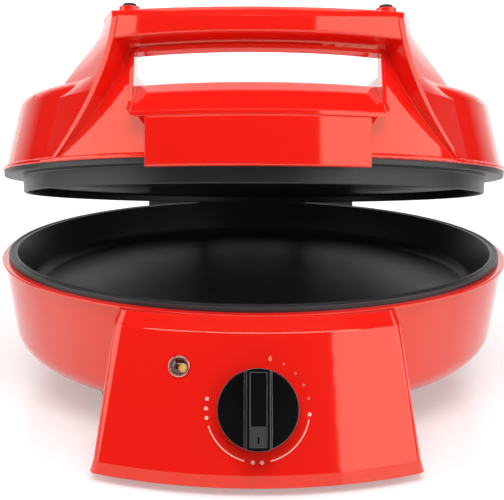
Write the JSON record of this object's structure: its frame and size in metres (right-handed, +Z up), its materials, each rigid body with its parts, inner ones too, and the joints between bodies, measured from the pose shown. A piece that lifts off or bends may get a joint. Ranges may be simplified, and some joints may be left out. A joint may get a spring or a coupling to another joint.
{
  "type": "electric pizza maker",
  "caption": "Round countertop pizza maker with a hinged domed lid, facing hot plates, a leaning control panel with a dial and lamp, and a lid handle with a window.",
  "frame": {"origin": "The pan's axis at table level: the middle of the part's bounding box, at its bottom.", "axes": "X to the right seen from the control panel, Y from the panel to the hinge, Z up."},
  "size_m": [0.345, 0.4334, 0.2474],
  "materials": {
    "red_shell": "glossy red moulded shell",
    "nonstick_plate": "cast, with a dark non-stick coating",
    "black_housing": "fine-textured black moulding",
    "hinge_metal": "black enamelled die casting",
    "bright_steel": "plain bright steel",
    "heater_tube": "dull oxidised heater sheath",
    "reflector_sheet": "thin bright sheet",
    "cover_sheet": "black coated sheet",
    "black_foot": "black moulding",
    "rubber_pad": "soft dark rubber",
    "knob_black": "glossy black",
    "knob_mark": "pale pointer insert",
    "lamp_chrome": "bright plated ring",
    "lamp_amber": "amber domed lens",
    "neon_glass": "small signal bulb",
    "thermostat_metal": "pressed can and brass-coloured bushing",
    "terminal_plastic": "pale insulating block"
  },
  "bodies": {
    "base": {"body_shell": "red_shell", "bottom_cover": "cover_sheet", "cord_gland": "black_housing", "foot_1": "black_foot", "foot_2": "black_foot", "foot_3": "black_foot", "foot_4": "black_foot", "foot_pad_1": "rubber_pad", "foot_pad_2": "rubber_pad", "foot_pad_3": "rubber_pad", "foot_pad_4": "rubber_pad", "front_panel": "red_shell", "hinge_housing": "black_housing", "hinge_pin_1": "bright_steel", "hinge_pin_2": "bright_steel", "lamp_bezel": "lamp_chrome", "lamp_lens": "lamp_amber", "lower_heater": "heater_tube", "lower_heater_clip_1": "bright_steel", "lower_heater_clip_2": "bright_steel", "lower_heater_clip_3": "bright_steel", "lower_reflector": "reflector_sheet", "lower_reflector_nut": "bright_steel", "neon_bulb": "neon_glass", "pan": "nonstick_plate", "pan_stud": "bright_steel", "pan_stud_nut": "bright_steel", "terminal_block": "terminal_plastic", "thermostat": "thermostat_metal"},
    "lid": {"lid_cover": "red_shell", "handle_liner": "red_shell", "tongue_plate": "red_shell", "upper_plate": "nonstick_plate", "plate_stud": "bright_steel", "upper_heater": "heater_tube", "upper_reflector": "reflector_sheet", "upper_reflector_nut": "bright_steel", "handle_pad_1": "rubber_pad", "handle_pad_2": "rubber_pad", "hinge_arm_1": "hinge_metal", "hinge_arm_2": "hinge_metal", "arm_screw_1": "bright_steel", "arm_screw_2": "bright_steel", "arm_screw_3": "bright_steel", "arm_screw_4": "bright_steel", "upper_heater_clip_1": "bright_steel", "upper_heater_clip_2": "bright_steel", "upper_heater_clip_3": "bright_steel"},
    "knob": {"knob": "knob_black", "knob_pointer": "knob_mark", "knob_shaft": "bright_steel"}
  },
  "joints": [
    {"name": "lid_hinge", "type": "hinge", "parent": "base", "child": "lid", "pos_m": [0, 0.208, 0.08865], "axis": [-1, 0, 0], "range_deg": [-11.6, 168.4]},
    {"name": "knob_turn", "type": "hinge", "parent": "base", "child": "knob", "pos_m": [0, -0.19417, 0.0428], "axis": [0, 0.9272, -0.3746], "range_deg": [-166, 101]}
  ]
}
